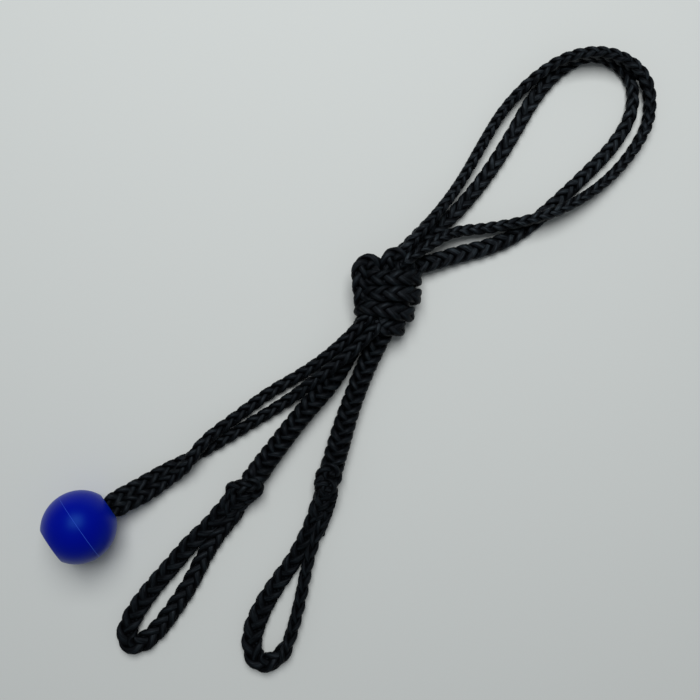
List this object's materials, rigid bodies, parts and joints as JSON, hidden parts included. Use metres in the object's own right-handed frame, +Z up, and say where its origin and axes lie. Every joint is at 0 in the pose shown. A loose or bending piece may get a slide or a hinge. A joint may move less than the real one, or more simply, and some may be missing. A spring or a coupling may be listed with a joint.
{
  "type": "rope bridle with ball",
  "caption": "Hollow-braid rope bridle: a plastic ball on its folded end, one wrapped knot, a doubled hand loop and spliced eyes on both rope ends.",
  "frame": {"origin": "on the ground under the middle of the ball", "axes": "+X along the ball's bore in plan, towards the knot and the hand loop, +Y to its left, +Z up"},
  "size_m": [0.4101, 0.1866, 0.038],
  "materials": {
    "ball_plastic": "moulded polypropylene, satin, with a fine mould parting line",
    "cord_braid": "black hollow-braid polypropylene cord"
  },
  "bodies": {
    "cord": {"ball_stopper_knot": "cord_braid", "ball_leg_over": "cord_braid", "ball_leg_under": "cord_braid", "loop_strand_outer": "cord_braid", "loop_strand_inner": "cord_braid", "knot_core": "cord_braid", "knot_wrap_1": "cord_braid", "knot_wrap_2": "cord_braid", "knot_wrap_3": "cord_braid", "knot_wrap_4": "cord_braid", "knot_bight_left": "cord_braid", "knot_bight_right": "cord_braid", "near_leg_sleeve": "cord_braid", "near_leg_buried_tail": "cord_braid", "near_throat_tuck": "cord_braid", "near_eye_loop": "cord_braid", "far_leg_sleeve": "cord_braid", "far_leg_buried_tail": "cord_braid", "far_throat_tuck": "cord_braid", "far_eye_loop": "cord_braid"},
    "ball": {"ball": "ball_plastic"}
  },
  "joints": [
    {"name": "ball_turn", "type": "hinge", "parent": "cord", "child": "ball", "pos_m": [0, 0, 0.019], "axis": [0.9336, 0, -0.3584], "continuous": true}
  ]
}
